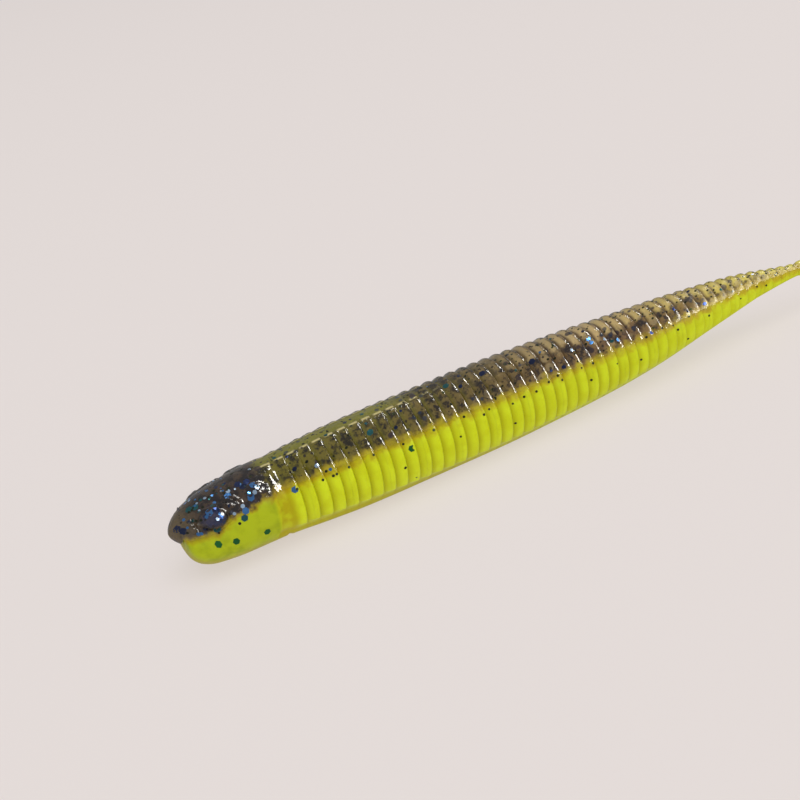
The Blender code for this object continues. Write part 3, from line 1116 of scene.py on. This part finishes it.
def on_rib_face(along, radius):
    """The nearest place where a flake lies on one rib's face, clear of the grooves."""
    if along < FIRST_RIB or along > FIRST_RIB + RIBS * PITCH:
        return along
    rib = math.floor((along - FIRST_RIB) / PITCH)
    start = FIRST_RIB + rib * PITCH
    return min(max(along, start + radius + FRONT_CLEAR), start + PITCH - radius - REAR_CLEAR)


def small_flakes(random, keep):
    """The pepper: some that stand out, and many more, most of them on the back."""
    for along, degrees in SMALL_FLAKES:
        keep(along, degrees - 90, PEPPER_RADIUS, "pepper")
    for _ in range(RANDOM_SMALL):
        along = random.uniform(*PEPPER_SPAN)
        on_back = random.random() < 1 - FAR_SHARE
        spread = seam_turn(along) * 0.6 if on_back else FAR_SPREAD
        turn = random.normal(0, spread)
        radius = PEPPER_RADIUS * random.uniform(0.6, 1.15)
        if abs(turn) < PEPPER_TURN:
            keep(along, turn, radius, "pepper")


def large_flakes(random, keep):
    """The glitter: some that stand out, others mostly on the back, and many on the head."""
    for along, degrees, tone in LARGE_FLAKES:
        size = 0.6 if tone == "silver" or along > 50 else 0.95
        keep(along, degrees - 90, FLAKE_RADIUS * size, tone)
    for _ in range(RANDOM_LARGE):
        along = random.uniform(*GLITTER_SPAN)
        turn = random.normal(0, 0.55) * seam_turn(along)
        tone = random.choice(BODY_TONES)
        if abs(turn) < GLITTER_TURN:
            keep(along, turn, FLAKE_RADIUS * random.uniform(0.3, 0.65), tone)
    for _ in range(HEAD_SPARKLES):
        along = random.uniform(*SPARKLE_SPAN)
        turn = random.uniform(-1, 1) * (seam_turn(along) - 6)
        tone = random.choice(HEAD_TONES)
        keep(along, turn, FLAKE_RADIUS * random.uniform(0.2, 0.5), tone)


def flakes(large):
    """(along, turn, radius, tone, spin, tilt) of every flake of one kind."""
    random = np.random.default_rng(LARGE_SEED if large else SMALL_SEED)
    found = []

    def keep(along, turn, radius, tone):
        """Adds a flake, unless it would lie across the gill cover's edge."""
        clear = gill_edge(degrees_of(turn))
        tilt = random.normal(0, FLAKE_TILT, 3)
        spin = random.uniform(0, 60)
        if abs(along - clear) > radius + 0.05:
            found.append((on_rib_face(along, radius), turn, radius, tone, spin, tilt))

    if large:
        large_flakes(random, keep)
    else:
        small_flakes(random, keep)
    return found


def flake_mesh(name, chosen):
    """Thin closed six-sided flakes that follow the skin, a little sunk in it."""
    points, faces, tones, tilts = [], [], [], []
    for along, turn, radius, tone, spin, tilt in chosen:
        reach = max(float(crest_radius(np.array(along), degrees_of(turn))), 0.5)
        angles = np.radians(spin + 60.0 * np.arange(6))
        at = np.append(along + radius * np.cos(angles), along)
        round_to = np.append(turn + np.degrees(radius / reach) * np.sin(angles), turn)
        place = skin(at, round_to)
        outward = np.radians(round_to)
        sideways = np.stack([0 * at, np.sin(outward), np.cos(outward)], -1)
        first = len(points)
        points += list(place + FLAKE_TOP * sideways) + list(place - FLAKE_SUNK * sideways)
        for k in range(6):
            k2 = (k + 1) % 6
            faces.append((first + k, first + k2, first + 6))
            faces.append((first + 7 + k2, first + 7 + k, first + 13))
            faces.append((first + k2, first + k, first + 7 + k, first + 7 + k2))
        tones += [TONES[tone]] * 14
        tilts += [tilt] * 14
    mesh = bpy.data.meshes.new(name)
    mesh.from_pydata((np.array(points) * MM).tolist(), [], faces)
    add_attribute(mesh, "tone", tones, "FLOAT_VECTOR")
    add_attribute(mesh, "tilt", tilts, "FLOAT_VECTOR")
    tidy = bmesh.new()
    tidy.from_mesh(mesh)
    bmesh.ops.recalc_face_normals(tidy, faces=tidy.faces)
    tidy.to_mesh(mesh)
    tidy.free()
    return mesh


def build_flakes():
    for label, large in (("large_flakes", True), ("pepper_flakes", False)):
        look = glitter(label, 0.3 if large else 0.5)
        everything = flakes(large)
        places = [("head", (JOINTS[0]["parent"],), 0.0, GILL)] + sections()
        for name, bodies, start, end in places:
            in_head = name == "head"
            chosen = []
            for flake in everything:
                on_head = flake[0] < gill_edge(degrees_of(flake[1]))
                if on_head == in_head and (in_head or flake[0] < end):
                    if in_head or name == "neck" or flake[0] >= start:
                        chosen.append(flake)
            if not chosen:
                continue
            piece = add_object(f"{label}_of_{name}", flake_mesh(label, chosen), look)
            blend_section(piece, bodies)


def build_skin():
    looks = {part: laminate(part) for part in ("back", "belly")}
    for part in ("back", "belly"):
        head = add_object(f"{part}_of_head", head_part(part).mesh("head"), looks[part])
        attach(head, JOINTS[0]["parent"])
        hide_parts(f"head_{part}")
        rows = skin_rows(part)
        made = sections()
        for index, (name, bodies, start, end) in enumerate(made):
            rings = section_rows(rows, start, end, index == 0)
            is_tip = len(bodies) == 1
            patch = body_part(rings, is_tip)
            piece = add_object(f"{part}_of_{name}", patch.mesh(name), looks[part])
            blend_section(piece, bodies)
            if not is_tip:
                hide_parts(f"{bodies[1]}_{part}")


build_skin()
build_flakes()
add_stage()
